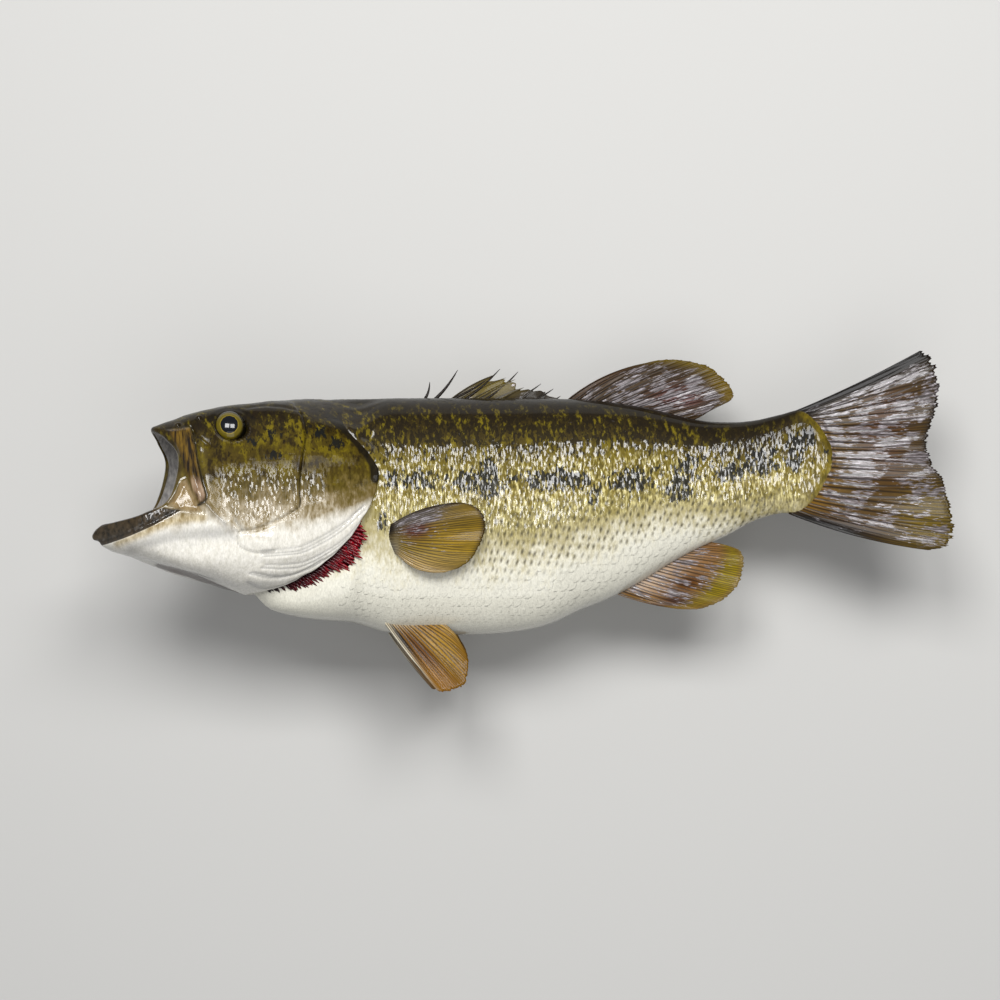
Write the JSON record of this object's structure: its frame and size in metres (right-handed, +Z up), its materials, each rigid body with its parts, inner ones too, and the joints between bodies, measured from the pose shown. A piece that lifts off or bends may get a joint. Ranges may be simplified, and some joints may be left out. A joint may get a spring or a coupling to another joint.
{
  "type": "mounted largemouth bass",
  "caption": "Life-size largemouth bass skin mount, mouth open and body gently curved, that hangs flat on a wall by a hidden wooden hanger block.",
  "frame": {"origin": "centre of the flat back face of the hanger block, where the mount meets the wall", "axes": "+X from the head to the tail, +Y into the wall, +Z up; the fish's left flank faces -Y, away from the wall"},
  "size_m": [0.4812, 0.1331, 0.2025],
  "materials": {
    "fish_skin": "painted and lacquered scaled skin, olive and gold, glossy",
    "pale_skin": "painted and lacquered skin, ivory white, glossy",
    "lip_skin": "painted and lacquered lip skin, brown to tan, glossy",
    "dark_fin": "dried and lacquered fin, brown with dark rays, glossy",
    "amber_fin": "dried and lacquered fin, amber, glossy",
    "gill_red": "cast gills painted deep red, satin",
    "eye_glass": "polished glass eye with a gold iris",
    "block_wood": "plain sawn pine",
    "hanger_steel": "zinc-plated steel"
  },
  "bodies": {
    "root": {"trunk": "fish_skin", "tail_stalk": "fish_skin", "forehead": "fish_skin", "nape": "fish_skin", "snout": "fish_skin", "cheek_left": "fish_skin", "cheek_right": "fish_skin", "gill_cover_left": "fish_skin", "gill_cover_right": "fish_skin", "gill_membrane_left": "pale_skin", "gill_membrane_right": "pale_skin", "lower_jaw": "pale_skin", "upper_lip": "lip_skin", "maxilla_left": "lip_skin", "maxilla_right": "lip_skin", "dorsal_fin_spiny": "dark_fin", "dorsal_fin_soft": "dark_fin", "tail_fin": "dark_fin", "anal_fin": "amber_fin", "pectoral_fin_left": "amber_fin", "pectoral_fin_right": "amber_fin", "pelvic_fin_left": "amber_fin", "pelvic_fin_right": "amber_fin", "gills_left": "gill_red", "gills_right": "gill_red", "eye_left": "eye_glass", "eye_right": "eye_glass", "hanger_block": "block_wood", "hanger_plate": "hanger_steel", "screw_1": "hanger_steel", "screw_2": "hanger_steel"}
  },
  "joints": []
}
